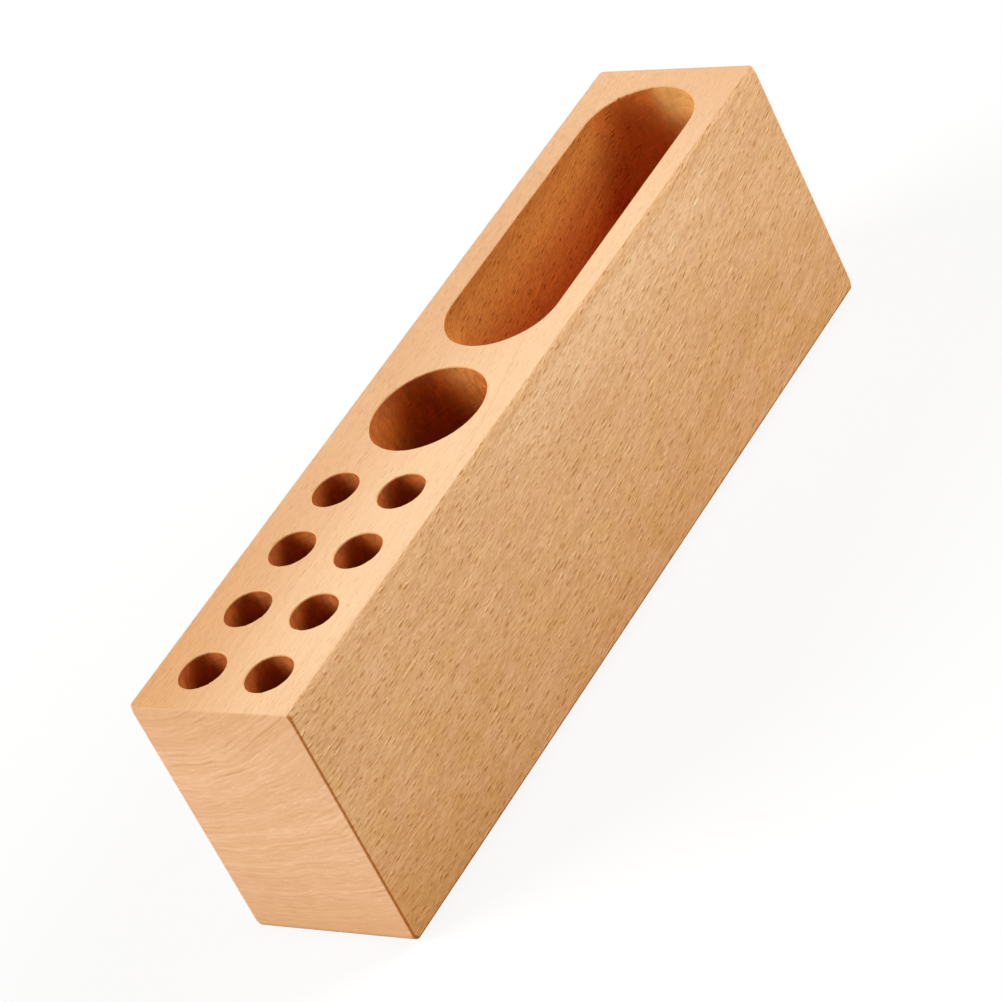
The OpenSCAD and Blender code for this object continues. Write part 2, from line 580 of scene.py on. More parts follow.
def ray_flecks():
    """Ray cells cut through on long grain: dark dashes along the fibres, each with a painted highlight
    above it.
    """
    tree, bench, given, result = new_group(
        "ray_flecks", {"Fibre": "NodeSocketVector", "Facing": "NodeSocketVector",
                       "Cell length": "NodeSocketFloat", "Cell width": "NodeSocketFloat",
                       "Half length": "NodeSocketFloat", "Half width": "NodeSocketFloat"},
        {"Fleck": "NodeSocketFloat", "Lip": "NodeSocketFloat"})
    along, across, height = bench.split(given["Fibre"])
    facing = bench.split(given["Facing"])
    level = bench.math("GREATER_THAN", bench.math("ABSOLUTE", facing[2]), LEVEL_FACING)
    behind = bench.math("GREATER_THAN", facing[1], 0.0)
    row = bench.line(behind, BACK_SHIFT, bench.between(level, height, across))
    flat = bench.join(bench.math("DIVIDE", along, given["Cell length"]),
                      bench.math("DIVIDE", row, given["Cell width"]), 0.0)
    cells = bench.node("ShaderNodeTexVoronoi", voronoi_dimensions="2D")
    bench.feed(cells.inputs["Vector"], flat)
    cells.inputs["Scale"].default_value = 1.0
    apart = bench.node("ShaderNodeVectorMath", operation="SUBTRACT")
    bench.feed_all(apart.inputs, (flat, cells.outputs["Position"]))
    off = bench.split(apart.outputs[0])
    first, second, third = bench.split(cells.outputs["Color"])
    half = bench.times(given["Half length"], bench.line(first, *FLECK_LENGTHS))
    wide = bench.times(given["Half width"], bench.line(third, *FLECK_WIDTHS))
    run = bench.math("DIVIDE", bench.times(off[0], given["Cell length"]), half)
    rise = bench.math("DIVIDE", bench.times(off[1], given["Cell width"]), wide)
    strength = bench.ramp(second, *FLECK_STRENGTH)
    for label, lift in (("Fleck", 0.0), ("Lip", HIGHLIGHT_LIFT)):
        parts = (run, bench.math("SUBTRACT", rise, lift))
        squares = (bench.math("POWER", part, 2.0) for part in parts)
        away = bench.math("SQRT", bench.math("ADD", *squares))
        bench.feed(result[label], bench.times(bench.ramp(away, *FLECK_FADE), strength))
    return tree


CLOUD_OCTAVES = 3.0
CLOUD_ROUGH = 0.55
CLOUD_RAMP = (0.3, 0.7)


def mottle():
    """Soft clouds of unevenness, at a size given in millimetres."""
    tree, bench, given, result = new_group(
        "mottle", {"Place": "NodeSocketVector", "Size": "NodeSocketFloat"}, {"Cloud": "NodeSocketFloat"})
    scaled = bench.node("ShaderNodeVectorMath", operation="SCALE")
    bench.feed(scaled.inputs[0], given["Place"])
    bench.feed(scaled.inputs["Scale"], bench.math("DIVIDE", 1 / MM, given["Size"]))
    cloud = bench.noise(scaled.outputs[0], 1.0, CLOUD_OCTAVES, CLOUD_ROUGH)
    bench.feed(result["Cloud"], bench.ramp(cloud, *CLOUD_RAMP))
    return tree


# Beech. Unless a comment says otherwise, a pair of numbers is a ramp, from where an effect begins to where
# it is full. A region is made of such ramps, each with the attribute of WoodCut that it is measured by.
# Depths run down from the top.

# A point this far in from the sides and the underside, or more, lies in a pocket or on the top
POCKET_INSET = 2 * MM
POCKET_LIFT = 5 * MM
WALL_DEPTH = (0.15 * MM, 0.6 * MM)
DRILLED_X = (5 * MM, 0.0)
END_FACING = (0.45, 0.95)
# The long sides begin unevenly, where the strands of the fibres let them
SIDE_FACING = (0.1, 0.4)
STRAND_GAIN = 2.0
STRANDS = ((0.33, 1.9, 1.9), 1.5)


class WoodCut:
    """How the block is cut at a point: its place, the way it faces and masks for kinds of surface."""

    def __init__(self, bench, place, beech):
        low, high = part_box("block")
        self.bench = bench
        self.beech = beech
        self.place = place["Object"]
        self.way = place["Normal"]
        self.x, self.y, self.z = bench.split(self.place)
        self.depth = bench.math("SUBTRACT", high.z, self.z)
        self.normal_x, normal_y, self.normal_z = bench.split(self.way)
        self.facing_x = bench.math("ABSOLUTE", self.normal_x)
        facing_y = bench.math("ABSOLUTE", normal_y)
        self.slant = bench.times(self.normal_x, normal_y)
        self.grain = bench.group(grain_space(beech), Place=self.place)
        self.fibre = self.grain["Fibre"]
        self.strands = bench.pattern(self.fibre, *STRANDS)
        self.end = bench.ramp(self.facing_x, *END_FACING)
        self.side = bench.ramp(bench.times(facing_y, self.strands, STRAND_GAIN), *SIDE_FACING)
        self.within = bench.times(
            bench.math("LESS_THAN", bench.math("ABSOLUTE", self.x), high.x - POCKET_INSET),
            bench.math("LESS_THAN", bench.math("ABSOLUTE", self.y), high.y - POCKET_INSET),
            bench.math("GREATER_THAN", self.z, low.z + POCKET_LIFT))
        self.pocket = bench.times(self.within, bench.ramp(self.depth, *WALL_DEPTH))
        self.drilled = bench.times(self.pocket, bench.ramp(self.x, *DRILLED_X))

    def region(self, limits):
        """How far a point is inside a region: its ramps, multiplied together."""
        ramps = (self.bench.ramp(getattr(self, measure), *ends) for measure, *ends in limits)
        return self.bench.times(*ramps)


PLAIN_TOP_X = (-120 * MM, -20 * MM)
# Painted light makes the top paler towards the front. It is weaker at the pen hole end, where its ramp is
# between two shares
LIT_FRONT = (("y", 22 * MM, -18 * MM), ("x", -125 * MM, -85 * MM, 0.8, 1.0))
# Towards the far end the top is evenly lit by painted light, by a share
FAR_END_X = (60 * MM, 125 * MM)
FAR_END_LIT = 0.3


def top_tone(cut):
    """The planed top: painted light makes it paler towards the front, and it is warmer at the back by the
    pen holes.
    """
    bench, beech = cut.bench, cut.beech
    back = bench.mix(bench.ramp(cut.x, *PLAIN_TOP_X), beech.top_warm, beech.top_colour)
    # Painted light on the top
    pale = bench.between(bench.ramp(cut.x, *FAR_END_X), cut.region(LIT_FRONT), FAR_END_LIT)
    return bench.mix(pale, back, beech.top_painted_light)


# Sizes of the warm and the rosy clouds in millimetres, and the share of each
WARM_CLOUD = 38.0
WARM_CLOUD_SHARE = 0.3
BLUSH_CLOUD = 9.0
BLUSH_SHARE = 0.4
# Painted shade makes the long sides darker and warmer low down. Its upper limit falls along the block
LOW_SHADE_TILT = 0.12
LOW_SHADE_Z = (75 * MM, -10 * MM)
LOW_SHADE_SHARE = 0.85
# Painted light: the long sides are paler high up, inside this region
SIDE_LIT_REGION = (("z", 48 * MM, 72 * MM), ("depth", 1 * MM, 6 * MM),
           ("x", -60 * MM, 20 * MM), ("x", 115 * MM, 70 * MM))
# Painted shade: the long sides are darker low down at the pen hole end
LOW_END_SHADE = (("x", -60 * MM, -120 * MM), ("z", 32 * MM, 6 * MM))
LOW_END_SHADE_SHARE = 0.8


def flank_tone(cut):
    """The long sides: rosy in patches and warm in clouds, with painted shade that makes them warm low down
    and amber below the pen holes, and painted light that makes them pale above.
    """
    bench, beech = cut.bench, cut.beech
    clouds = mottle()
    warm, blush = (bench.group(clouds, Place=cut.place, Size=size)["Cloud"]
                   for size in (WARM_CLOUD, BLUSH_CLOUD))
    # Painted shade: darker and warmer low down
    warmth = bench.times(bench.ramp(bench.line(cut.x, LOW_SHADE_TILT, cut.z), *LOW_SHADE_Z), LOW_SHADE_SHARE)
    tone = bench.mix(bench.line(warm, WARM_CLOUD_SHARE, warmth), beech.side_colour, beech.warm_wood_and_shade)
    tone = bench.mix(bench.times(blush, BLUSH_SHARE), tone, beech.blush_colour)
    tone = bench.mix(cut.region(SIDE_LIT_REGION), tone, beech.side_painted_light)
    return bench.mix(bench.times(cut.region(LOW_END_SHADE), LOW_END_SHADE_SHARE), tone, beech.low_end_shade)


# Height where the end grain is least warm, and how far from it the warmth begins and is full
END_COOL_Z = 42 * MM
END_WARM_OFF = (8 * MM, 36 * MM)


def end_tone(cut):
    """The end grain: warmer near the top and the underside."""
    off = cut.bench.math("ABSOLUTE", cut.bench.math("SUBTRACT", cut.z, END_COOL_Z))
    return cut.bench.mix(cut.bench.ramp(off, *END_WARM_OFF), cut.beech.end_colour, cut.beech.end_warm)


# Ray flecks in millimetres: the cell that each lies in and half of its own size. The slope and start of
# the half length say how a pocket's wall shortens it.
LARGE_FLECKS = {"Cell_length": 3.6, "Cell_width": 1.35, "Half_width": 0.34}
LARGE_HALF = (-0.4, 1.4)
SMALL_FLECKS = {"Cell_length": 2.1, "Cell_width": 0.85, "Half_width": 0.24}
SMALL_HALF = (-0.3, 0.85)
SMALL_SHARE = 0.6
END_DOTS = {"Cell_length": 4.5, "Cell_width": 1.8, "Half_length": 0.6, "Half_width": 0.2}
DOTS_FACING = (0.0, -1.0, 0.0)


def ray_masks(cut):
    """Masks of the flecks and of the painted highlights above them on long grain, and of the dots that
    they make on end grain.
    """
    bench, tree = cut.bench, ray_flecks()
    large, small = (bench.group(tree, Fibre=cut.fibre, Facing=cut.way,
                                Half_length=bench.line(cut.pocket, *half), **cell)
                    for cell, half in ((LARGE_FLECKS, LARGE_HALF), (SMALL_FLECKS, SMALL_HALF)))
    fleck, lip_highlight = (bench.math("MAXIMUM", large[mask], bench.times(small[mask], SMALL_SHARE))
                  for mask in ("Fleck", "Lip"))
    around = bench.join(cut.grain["Around"], 0.0, cut.grain["Radius"])
    dots = bench.group(tree, Fibre=around, Facing=DOTS_FACING, **END_DOTS)["Fleck"]
    return fleck, lip_highlight, dots


# Share of the long grain's figure on the planed top, as a ramp between two shares
PLANED_TOP = (-2 * MM, 20 * MM, 0.28, 0.34)
# What end grain and the drill take from it
END_LOSS = 0.75
DRILLED_LOSS = 0.7


def long_grain_share(cut):
    """How much of the long grain's figure shows: all of it on the long sides."""
    bench = cut.bench
    planed = bench.ramp(cut.y, *PLANED_TOP)
    share = bench.line(cut.side, bench.math("SUBTRACT", 1.0, planed), planed)
    return bench.times(share, bench.line(cut.end, -END_LOSS, 1.0),
                       bench.line(cut.drilled, -DRILLED_LOSS, 1.0))


# More patterns: steps to a millimetre along, across and up the fibres, and octaves
PORES = ((0.03, 1.5, 1.5), 2.0)
BUNDLES = ((0.08, 0.5, 0.5), 2.0)
STREAKS = ((0.015, 0.22, 0.22), 2.0)
STRAND_SHIFT = (0.0, 0.5, 0.5)
# Contrast of each pattern, on long grain and on end grain
TONE_CONTRAST = (0.04, 0.09)
STROKE_CONTRAST = (0.0, 0.37)
STRAND_CONTRAST = (0.48, 0.0)
PORE_CONTRAST = (0.25, 0.0)
BUNDLE_CONTRAST = (0.20, 0.0)
STREAK_CONTRAST = (0.14, 0.10)
# How dark a ring's line is off the end grain, how light the painted highlights above flecks are, and how
# light dots are
LONG_RING_DEPTH = 0.08
LIP_HIGHLIGHT = 0.22
DOT_LIGHT = 0.14
# Powers that the figure is raised to in red, green and blue, so that it changes blue most
SHADE_POWERS = (0.85, 1.3, 1.9)


def figure_shade(cut, long_grain, lip_highlight, dots):
    """What the figure multiplies the wood's tone by: rings, fibres, pores, streaks and dots, with painted
    highlights above flecks and painted shade and highlight beside strands.
    """
    bench, end = cut.bench, cut.end
    rings = bench.group(growth_rings(cut.beech), Around=cut.grain["Around"], Radius=cut.grain["Radius"])
    patterns = ((rings["Tone"], TONE_CONTRAST), (rings["Stroke"], STROKE_CONTRAST),
                # Strands embossed with painted shade and highlight, as a lit relief would show
                (bench.emboss(cut.fibre, *STRANDS, STRAND_SHIFT), STRAND_CONTRAST),
                (bench.pattern(cut.fibre, *PORES), PORE_CONTRAST),
                (bench.pattern(cut.fibre, *BUNDLES), BUNDLE_CONTRAST),
                (bench.pattern(cut.fibre, *STREAKS), STREAK_CONTRAST))
    shade = bench.line(rings["Line"], bench.line(end, -cut.beech.ring_depth, -LONG_RING_DEPTH), 1.0)
    for pattern, (on_long, on_end) in patterns:
        contrast = bench.line(long_grain, on_long, bench.times(end, on_end))
        shade = bench.times(shade, bench.line(bench.math("SUBTRACT", pattern, MEAN), contrast, 1.0))
    # Painted highlights above flecks, and pale dots on end grain
    for pattern, where, light in ((lip_highlight, long_grain, LIP_HIGHLIGHT), (dots, end, DOT_LIGHT)):
        shade = bench.times(shade, bench.line(pattern, bench.times(where, light), 1.0))
    return bench.join(*(bench.math("POWER", shade, power) for power in SHADE_POWERS))


# Painted shade on the slot's walls deepens over these depths
DEEP_ROUTED_DEPTH = (6 * MM, 32 * MM)
# Walls that face squarely along the fibres, and one corner where the cutter ran with them
SQUARE_STRAY = 0.05
SQUARE_FACING = (0.93, 1.0)
CORNER = (("slant", -0.02, -0.2), ("normal_x", -0.6, -0.85))
SQUARE_DEPTH = (20 * MM, 2 * MM)
# Painted shade: slot walls that face away from both lights turn redder
SLANT_SHADED_STRAY = 0.3
SLANT_SHADED = (0.02, 0.45)


def routed_tint(cut, stray):
    """Tint of the slot's walls: painted shade, darker and redder deeper down and where they face away from
    both lights.
    """
    bench, beech = cut.bench, cut.beech
    deep = bench.ramp(cut.depth, *DEEP_ROUTED_DEPTH)
    tint = bench.mix(deep, beech.routed_colour, beech.routed_deep_shade)
    square = bench.ramp(bench.line(stray, SQUARE_STRAY, cut.facing_x), *SQUARE_FACING)
    square = bench.math("MAXIMUM", square, cut.region(CORNER))
    square = bench.times(square, bench.ramp(cut.depth, *SQUARE_DEPTH))
    tint = bench.mix(square, tint, beech.routed_end)
    # Painted shade where the wall faces away from both lights
    slant_shaded = bench.ramp(bench.line(stray, SLANT_SHADED_STRAY, cut.slant), *SLANT_SHADED)
    return bench.mix(slant_shaded, tint, beech.routed_slant_shade)


# Painted shade on the drilled walls deepens over these depths
DEEP_DRILLED_DEPTH = (0.5 * MM, 7 * MM)
ACROSS_STRAY = 0.3
ACROSS_FACING = (0.80, 0.99)
ACROSS_DEPTH = (9 * MM, 2 * MM)
PEN_RIMS = (("x", -34 * MM, -36 * MM), ("depth", 6 * MM, 2 * MM))
# Painted shade: drilled walls that face away from both lights turn darker and redder
SLANT_SHADE_STRAY = 0.7
SLANT_SHADE = (0.12, 0.45)


def drilled_tint(cut, stray):
    """Tint of the walls of the round holes: painted shade, darker deeper down and where they face away
    from both lights.
    """
    bench, beech = cut.bench, cut.beech
    deep = bench.ramp(cut.depth, *DEEP_DRILLED_DEPTH)
    tint = bench.mix(deep, beech.drilled_colour, beech.drilled_deep_shade)
    across = bench.ramp(bench.line(stray, ACROSS_STRAY, cut.facing_x), *ACROSS_FACING)
    across = bench.times(across, bench.ramp(cut.depth, *ACROSS_DEPTH))
    tint = bench.mix(across, tint, beech.drilled_end)
    shallow = bench.tint(cut.region(PEN_RIMS), tint, beech.pen_colour)
    # Painted shade where the wall faces away from both lights
    slant_shade = bench.ramp(bench.line(stray, SLANT_SHADE_STRAY, cut.slant), *SLANT_SHADE)
    return bench.mix(slant_shade, shallow, bench.multiply(tint, beech.slant_shade_colour))


# Scuffs of the walls: steps to a metre along, across and up, octaves and roughness
SCUFFS = ((650.0, 650.0, 330.0), 3.0, 0.6)
# Contrast of the scuffs on routed walls, and what drilled ones add to it
ROUTED_SCUFF = 0.5
DRILLED_SCUFF = 0.8
FLOOR_NORMAL = (0.5, 0.9)


def wall_tint(cut):
    """Tint of the pockets' walls, which a cutter has rubbed, and of their floors: painted shade of the
    pockets, milder on the floors.
    """
    bench = cut.bench
    stray = bench.math("SUBTRACT", bench.pattern(cut.place, *SCUFFS), MEAN)
    wall = bench.mix(cut.drilled, routed_tint(cut, stray), drilled_tint(cut, stray))
    rubbed = bench.line(stray, bench.line(cut.drilled, DRILLED_SCUFF, ROUTED_SCUFF), 1.0)
    wall = bench.multiply(wall, bench.join(rubbed, rubbed, rubbed))
    return bench.mix(bench.ramp(cut.normal_z, *FLOOR_NORMAL), wall, cut.beech.floor_colour)


RIMS = (("normal_z", 0.99, 0.85), ("depth", 0.5 * MM, 0.25 * MM))
RIM_SHARE = 0.85
# Painted shade: upright edges that face away from both lights, below the top, and long lower edges, which
# face down
UPRIGHT_SHADE = (("slant", 0.2, 0.45), ("depth", 0.1 * MM, 0.8 * MM))
LOWER_SHADE = (("normal_z", -0.01, -0.2), ("facing_x", 0.5, 0.1))


def edge_tones(cut, tone):
    """The wood with raw rims, and with painted shade on the upright edges that face away from both lights
    and on the long lower edges, which face down.
    """
    bench, beech = cut.bench, cut.beech
    tone = bench.mix(bench.times(cut.region(RIMS), cut.within, RIM_SHARE), tone, beech.rim_colour)
    outside = bench.math("SUBTRACT", 1.0, cut.pocket)
    edges = ((UPRIGHT_SHADE, beech.upright_shade_colour), (LOWER_SHADE, beech.lower_edge_shade))
    for region, by in edges:
        tone = bench.tint(bench.times(cut.region(region), outside), tone, by)
    return tone


# What flecks and pocket walls add to the roughness, and how high strands stand and deep flecks lie
FLECK_ROUGH = 0.12
WALL_ROUGH = 0.2
BEECH_SPECULAR = 0.2
STRAND_HEIGHT = 0.6
FLECK_HEIGHT = -0.8
BEECH_BUMP = 0.3
BEECH_RELIEF = 0.15 * MM


def beech_material(settings):
    """Oiled beech, figured right through, so each face shows the cut that it would."""
    beech = settings.beech
    material, bench, surface, place = new_material("oiled_beech")
    cut = WoodCut(bench, place, beech)
    fleck, lip_highlight, dots = ray_masks(cut)
    long_grain = long_grain_share(cut)

    tone = bench.mix(cut.side, top_tone(cut), flank_tone(cut))
    tone = bench.mix(cut.end, tone, end_tone(cut))
    tone = bench.multiply(tone, figure_shade(cut, long_grain, lip_highlight, dots))
    dark = bench.mix(cut.pocket, beech.fleck_colour, beech.fleck_cut)
    tone = bench.tint(bench.times(fleck, long_grain), tone, dark)
    # Painted shade in the pockets
    tone = bench.tint(cut.pocket, tone, wall_tint(cut))
    bench.feed(surface.inputs["Base Color"], edge_tones(cut, tone))

    rough = bench.line(fleck, FLECK_ROUGH, beech.roughness)
    bench.feed(surface.inputs["Roughness"], bench.line(cut.pocket, WALL_ROUGH, rough))
    surface.inputs["Specular IOR Level"].default_value = BEECH_SPECULAR
    relief = bench.line(fleck, FLECK_HEIGHT, bench.times(cut.strands, STRAND_HEIGHT))
    tilted = bench.bump(bench.times(relief, long_grain), BEECH_BUMP, BEECH_RELIEF)
    bench.feed(surface.inputs["Normal"], tilted)
    return material


# Block

# Steps round the outside and round each kind of pocket
SKIN_SEGMENTS = 32
PEN_SEGMENTS = 96
CUP_SEGMENTS = 160
SLOT_SEGMENTS = 192
# A pocket's wall runs true from this many rim radii down
TRUE_WALL = 3
# Noise round a rim: how fine its waves and chips are, and what sets each pocket and the chips apart
WAVE_STEPS = 3
CHIP_STEPS = 9
POCKET_SEED = 10.0
CHIP_SEED = 71
# Share of a chip that a rim along or across the fibres keeps, and the noise that a chip begins at
CHIP_SHARE = 0.3
CHIP_START = 0.25


def uneven_rim(sizes, tear, seed):
    """How far a rim strays from its line: slight waves, and chips, mostly at a slant to the fibres."""
    def ripple(way):
        wave = noise.noise(Vector((way.x * WAVE_STEPS, way.y * WAVE_STEPS, seed)))
        chip = noise.noise(Vector((way.x * CHIP_STEPS, way.y * CHIP_STEPS, seed + CHIP_SEED)))
        slant = max(0.0, 2 * way.x * way.y)
        return sizes.rim_ripple * wave + tear * (CHIP_SHARE + slant) * max(0.0, chip - CHIP_START)
    return ripple


def add_skin(bm, facing, settings):
    """The outside of the block, open at the top. Returns the loop that is left open there."""
    sizes, steps = settings.sizes, settings.arc_steps
    low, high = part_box("block")
    middle = (low + high) / 2
    half = high - middle

    def top_round(way):
        others = blend(sizes.near_edge, sizes.far_edge, (way.x + way.y + 1) / 2)
        return blend(others, sizes.front_edge, -way.y)

    def foot_round(way):
        return blend(sizes.side_foot, sizes.end_foot, way.x * way.x)

    def top_corner(way):
        return sizes.near_corner if max(way.x, way.y) < 0 else sizes.far_corner

    def upright(way):
        return sizes.near_upright if way.x * way.y > 0 else sizes.far_upright

    upper, wall, lower = (Outline(middle.xy, half.x, half.y, corner)
                          for corner in (top_corner, upright, sizes.far_corner))
    rings = [(upper, lambda way, inset=inset: inset * top_round(way),
              lambda way, drop=drop: high.z - drop * top_round(way))
             for inset, drop in quarter_round(steps)]
    rings += [(wall, lambda way: 0.0, lambda way, z=z: z)
              for z in (high.z - sizes.corner_reach, low.z + sizes.corner_reach)]
    rings += [(lower, lambda way, inset=inset: inset * foot_round(way),
               lambda way, drop=drop: low.z + drop * foot_round(way))
              for inset, drop in reversed(quarter_round(steps))]
    verts, first = start_ring(bm, SKIN_SEGMENTS, facing)
    loop = first
    for number, (line, inset, z) in enumerate(rings):
        if number:
            verts, loop = next_ring(bm, loop, facing)
        line.place(verts, facing, inset, z)
    bmesh.ops.edgeloop_fill(bm, edges=loop)
    return first


def add_pocket(bm, facing, line, ripple, rim, floor, segments, steps):
    """A pocket with a rounded, uneven rim and a flat floor. Returns the loop that is left open above."""
    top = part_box("block")[1].z
    verts, first = start_ring(bm, segments, facing)
    loop = first
    for number, (inset, drop) in enumerate(quarter_round(steps)):
        if number:
            verts, loop = next_ring(bm, loop, facing)
        line.place(verts, facing, lambda way: -inset * rim - ripple(way), lambda way: top - drop * rim)
    for z in (top - TRUE_WALL * rim, floor):
        verts, loop = next_ring(bm, loop, facing)
        line.place(verts, facing, lambda way: 0.0, lambda way: z)
    cap(bm, loop)
    return first


def block_bmesh(settings):
    """The block: its outer skin, the pockets cut into it and the flat top between them."""
    sizes, steps = settings.sizes, settings.arc_steps
    bm = bmesh.new()
    facing = {}
    top_edges = add_skin(bm, facing, settings)
    pens = [name for name in (*MOUNTS, *OPENINGS) if name.startswith("pen_hole_")]
    pen_r, cup_r, slot_r = sizes.pen_diameter / 2, sizes.cup_diameter / 2, sizes.slot_width / 2
    drilled = (sizes.drilled_rim, sizes.drilled_chip)
    pockets = [(name, pen_r, pen_r, sizes.pen_floor, *drilled, PEN_SEGMENTS) for name in pens]
    pockets.append(("cup_hole", cup_r, cup_r, sizes.wide_floor, *drilled, CUP_SEGMENTS))
    pockets.append(("slot", sizes.slot_length / 2, slot_r, sizes.wide_floor, sizes.slot_rim,
                    sizes.slot_chip, SLOT_SEGMENTS))
    for number, (name, half_x, half_y, floor, rim, tear, segments) in enumerate(pockets):
        line = Outline(hole_centre(name), half_x, half_y, half_y)
        ripple = uneven_rim(sizes, tear, POCKET_SEED * number)
        top_edges += add_pocket(bm, facing, line, ripple, rim, floor, segments, steps)
    bmesh.ops.triangle_fill(bm, use_beauty=True, edges=top_edges, normal=(0, 0, 1))
    return bm


class PENBLOCK_OT_block(bpy.types.Operator):
    """Adds the beech block with its pen holes, its wide hole and its slot"""

    bl_idname = "pen_block.block"
    bl_label = "Beech Block"

    def execute(self, context):
        settings = context.scene.pen_block
        finish_piece(block_bmesh(settings), "beech_block", beech_material(settings), "beech", "block")
        return {"FINISHED"}


# Pads

# Dust: the size of its clouds in millimetres, and steps to a metre and octaves of its specks
DUST_CLOUD = 2.5
SPECK_STEPS = 4000.0
SPECK_OCTAVES = 2.0
DUST_SPECK = (0.45, 0.75)
RUBBER_ROUGH = 0.62
DUST_ROUGH = 0.2
RUBBER_BUMP = 0.4
RUBBER_RELIEF = 0.05 * MM
PAD_SEGMENTS = 64
# How far the glued face is inside the pad's edge, and how close points have to be to become one
GLUE_INSET = 0.2 * MM
WELD = 0.005 * MM


def rubber_material(settings):
    """Dull moulded rubber with a little dust."""
    pads = settings.pads
    material, bench, surface, place = new_material("moulded_rubber")
    cloud = bench.group(mottle(), Place=place["Object"], Size=DUST_CLOUD)["Cloud"]
    speck = bench.noise(place["Object"], SPECK_STEPS, SPECK_OCTAVES)
    dust = bench.times(cloud, bench.ramp(speck, *DUST_SPECK))
    bench.feed(surface.inputs["Base Color"], bench.mix(dust, pads.rubber_colour, pads.dust_colour))
    bench.feed(surface.inputs["Roughness"], bench.line(dust, DUST_ROUGH, RUBBER_ROUGH))
    bench.feed(surface.inputs["Normal"], bench.bump(speck, RUBBER_BUMP, RUBBER_RELIEF))
    return material


def pad_bmesh(node, settings):
    """One pad: half of its section, turned about its middle. Its lower face bulges as a parabola."""
    low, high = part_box(node)
    middle = (low + high) / 2
    radius = (high.x - low.x) / 2
    edge = (high.z - low.z) / 2
    dome = settings.pads.dome
    section = [(0.0, low.z), (radius / 2, low.z + dome / 4)]
    section += [(radius - inset * edge, low.z + dome + drop * edge)
                for inset, drop in quarter_round(settings.arc_steps)]
    section += [(radius - GLUE_INSET, high.z), (0.0, high.z)]
    bm = bmesh.new()
    verts = [bm.verts.new((middle.x + out, middle.y, z)) for out, z in section]
    edges = [bm.edges.new(pair) for pair in zip(verts, verts[1:])]
    bmesh.ops.spin(bm, geom=verts + edges, cent=(middle.x, middle.y, 0), axis=(0, 0, 1),
                   angle=math.tau, steps=PAD_SEGMENTS, use_merge=True)
    bmesh.ops.remove_doubles(bm, verts=bm.verts, dist=WELD)
    return bm


class PENBLOCK_OT_pads(bpy.types.Operator):
    """Adds the rubber pads under the block"""

    bl_idname = "pen_block.pads"
    bl_label = "Rubber Pads"

    def execute(self, context):
        settings = context.scene.pen_block
        material = rubber_material(settings)
        for node in PAD_NODES:
            piece_name = node.replace("foot", "rubber")
            finish_piece(pad_bmesh(node, settings), piece_name, material, "pad_rubber", node)
        return {"FINISHED"}


# Studio

WHITE = (1.0, 1.0, 1.0)
# Colour that the floor casts back on the block, and where it turns plain white, out from its middle
FLOOR_PAINT = (0.42, 0.40, 0.37)
WHITE_FLOOR = (0.15, 0.40)
# The two large lights, in metres
LEFT_PLACE = (-1.62, 1.62, 1.26)
RIGHT_PLACE = (1.62, -1.62, 1.26)
LIGHT_AIM = (0.0, 0.0, 0.04)
LIGHT_SIZE = 1.4
# Width of the camera's sensor, in millimetres
SENSOR = 36.0


def seen_rays(bench):
    """1 for a ray that something is seen along, and 0 for one that only lights."""
    path = bench.node("ShaderNodeLightPath").outputs
    return bench.math("MAXIMUM", path["Is Camera Ray"],
                      bench.math("MAXIMUM", path["Is Glossy Ray"], path["Is Transmission Ray"]))


def end_tree(bench, output, factor, first, second):
    """Ends a tree with a mixture of two shaders."""
    both = bench.node("ShaderNodeMixShader")
    bench.feed_all(both.inputs, (factor, first.outputs[0], second.outputs[0]))
    bench.feed(bench.node(output).inputs["Surface"], both.outputs[0])


def floor_material(studio):
    """Paint that looks white, takes a faint shadow and casts less light back than white would."""
    material = bpy.data.materials.new("floor_white")
    material.use_nodes = True
    material.node_tree.nodes.clear()
    bench = Bench(material.node_tree)
    seen = seen_rays(bench)
    paint = bench.node("ShaderNodeBsdfDiffuse")
    bench.feed(paint.inputs["Color"], bench.mix(seen, FLOOR_PAINT, WHITE))
    glow = bench.node("ShaderNodeEmission")
    spot = bench.node("ShaderNodeVectorMath", operation="LENGTH")
    bench.feed(spot.inputs[0], bench.node("ShaderNodeTexCoord").outputs["Object"])
    white = bench.ramp(spot.outputs["Value"], *WHITE_FLOOR, studio.floor_glow, 1.0)
    end_tree(bench, "ShaderNodeOutputMaterial", bench.times(seen, white), paint, glow)
    return material


def add_floor(studio):
    """A square floor under the pads."""
    bm = bmesh.new()
    bmesh.ops.create_grid(bm, x_segments=1, y_segments=1, size=studio.floor_size / 2)
    mesh = bpy.data.meshes.new("floor")
    bm.to_mesh(mesh)
    bm.free()
    mesh.materials.append(floor_material(studio))
    floor = bpy.data.objects.new("floor", mesh)
    bpy.context.scene.collection.objects.link(floor)


def add_world(studio):
    """Even light from all round, and white where it is seen."""
    world = bpy.data.worlds.new("studio")
    world.use_nodes = True
    world.node_tree.nodes.clear()
    bench = Bench(world.node_tree)
    light = bench.node("ShaderNodeBackground")
    light.inputs["Color"].default_value = (*studio.light_colour, 1.0)
    light.inputs["Strength"].default_value = studio.ambient
    white = bench.node("ShaderNodeBackground")
    white.inputs["Color"].default_value = (*WHITE, 1.0)
    end_tree(bench, "ShaderNodeOutputWorld", seen_rays(bench), light, white)
    bpy.context.scene.world = world


def add_softbox(name, place, power, tint):
    """A square area light that faces the block."""
    light = bpy.data.lights.new(name, "AREA")
    light.size = LIGHT_SIZE
    light.energy = power
    light.color = tint
    lamp = bpy.data.objects.new(name, light)
    lamp.visible_camera = False
    lamp.location = place
    lamp.rotation_mode = "QUATERNION"
    lamp.rotation_quaternion = (Vector(place) - Vector(LIGHT_AIM)).to_track_quat("Z", "Y")
    bpy.context.scene.collection.objects.link(lamp)


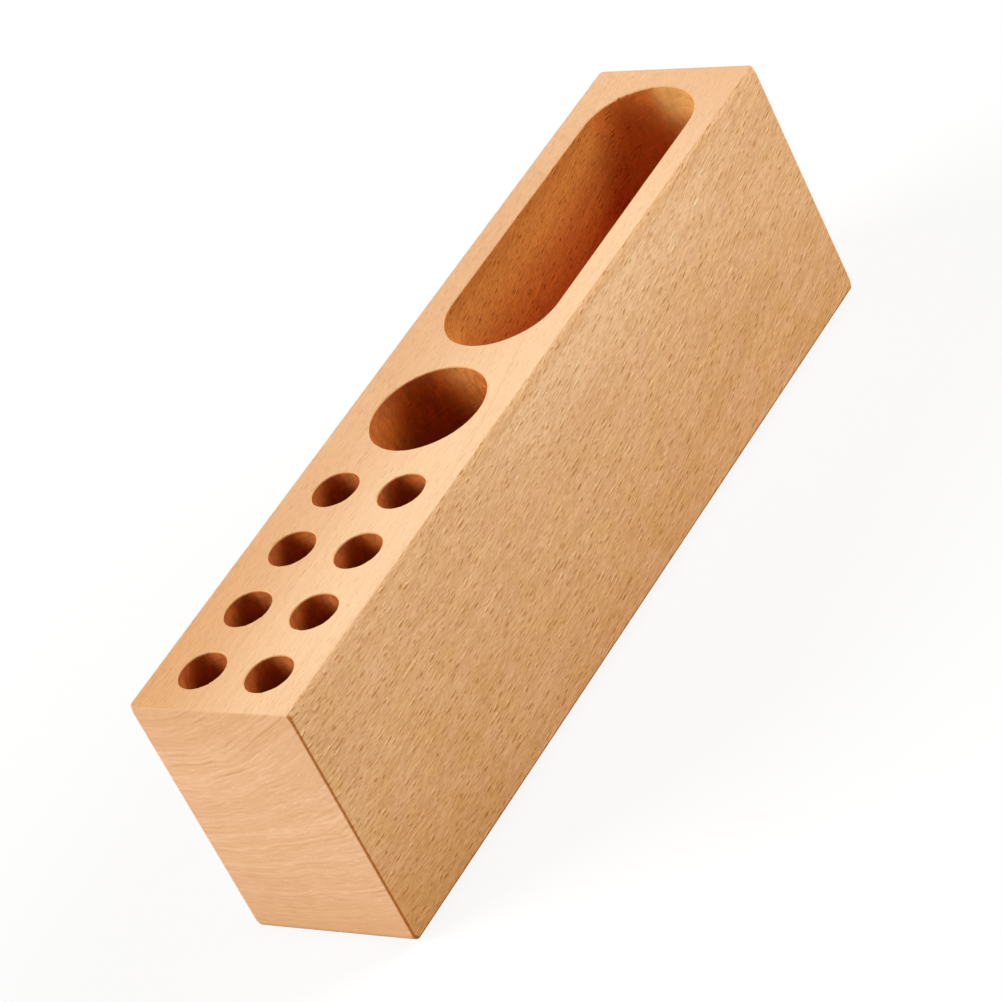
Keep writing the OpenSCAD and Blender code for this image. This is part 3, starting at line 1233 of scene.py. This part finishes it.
def add_camera(studio):
    """A long lens at the photograph's angle, turned about its own axis as the photograph is."""
    camera = bpy.data.cameras.new("camera")
    camera.lens = studio.lens
    camera.sensor_width = SENSOR
    camera.sensor_fit = "HORIZONTAL"
    back = Vector((math.sin(studio.azimuth) * math.cos(studio.elevation),
                   -math.cos(studio.azimuth) * math.cos(studio.elevation), math.sin(studio.elevation)))
    stand = bpy.data.objects.new("camera", camera)
    stand.location = Vector(studio.aim) + studio.distance * back
    stand.rotation_mode = "QUATERNION"
    stand.rotation_quaternion = back.to_track_quat("Z", "Y") @ Quaternion((0, 0, 1), studio.roll)
    bpy.context.scene.collection.objects.link(stand)
    bpy.context.scene.camera = stand


class PENBLOCK_OT_stage(bpy.types.Operator):
    """Adds the floor, the lights and the camera"""

    bl_idname = "pen_block.stage"
    bl_label = "Studio"

    def execute(self, context):
        studio = context.scene.pen_block.studio
        context.scene.view_settings.view_transform = "Standard"
        add_floor(studio)
        add_world(studio)
        add_softbox("left_light", LEFT_PLACE, studio.left_power, studio.light_colour)
        add_softbox("right_light", RIGHT_PLACE, studio.right_power, studio.light_colour)
        add_camera(studio)
        return {"FINISHED"}


class PENBLOCK_PT_panel(bpy.types.Panel):
    """Lists the pieces and their settings"""

    bl_label = "Pen Block"
    bl_idname = "PENBLOCK_PT_panel"
    bl_space_type = "VIEW_3D"
    bl_region_type = "UI"
    bl_category = "Pen Block"

    def draw(self, context):
        settings = context.scene.pen_block
        for operator in OPERATORS:
            self.layout.operator(operator.bl_idname)
        self.layout.prop(settings, "arc_steps")
        for group in (settings.sizes, settings.beech, settings.pads, settings.studio):
            column = self.layout.column(align=True)
            for key in group.__annotations__:
                column.prop(group, key)


OPERATORS = (PENBLOCK_OT_block, PENBLOCK_OT_pads, PENBLOCK_OT_stage)
CLASSES = (BlockSizes, BeechFinish, PadFinish, StudioSettings, PenBlockSettings, *OPERATORS,
           PENBLOCK_PT_panel)


def register():
    for each in CLASSES:
        bpy.utils.register_class(each)
    bpy.types.Scene.pen_block = PointerProperty(type=PenBlockSettings)


def unregister():
    del bpy.types.Scene.pen_block
    for each in reversed(CLASSES):
        bpy.utils.unregister_class(each)


def main():
    register()
    bpy.ops.pen_block.block()
    bpy.ops.pen_block.pads()
    bpy.ops.pen_block.stage()


if __name__ == "__main__":
    main()
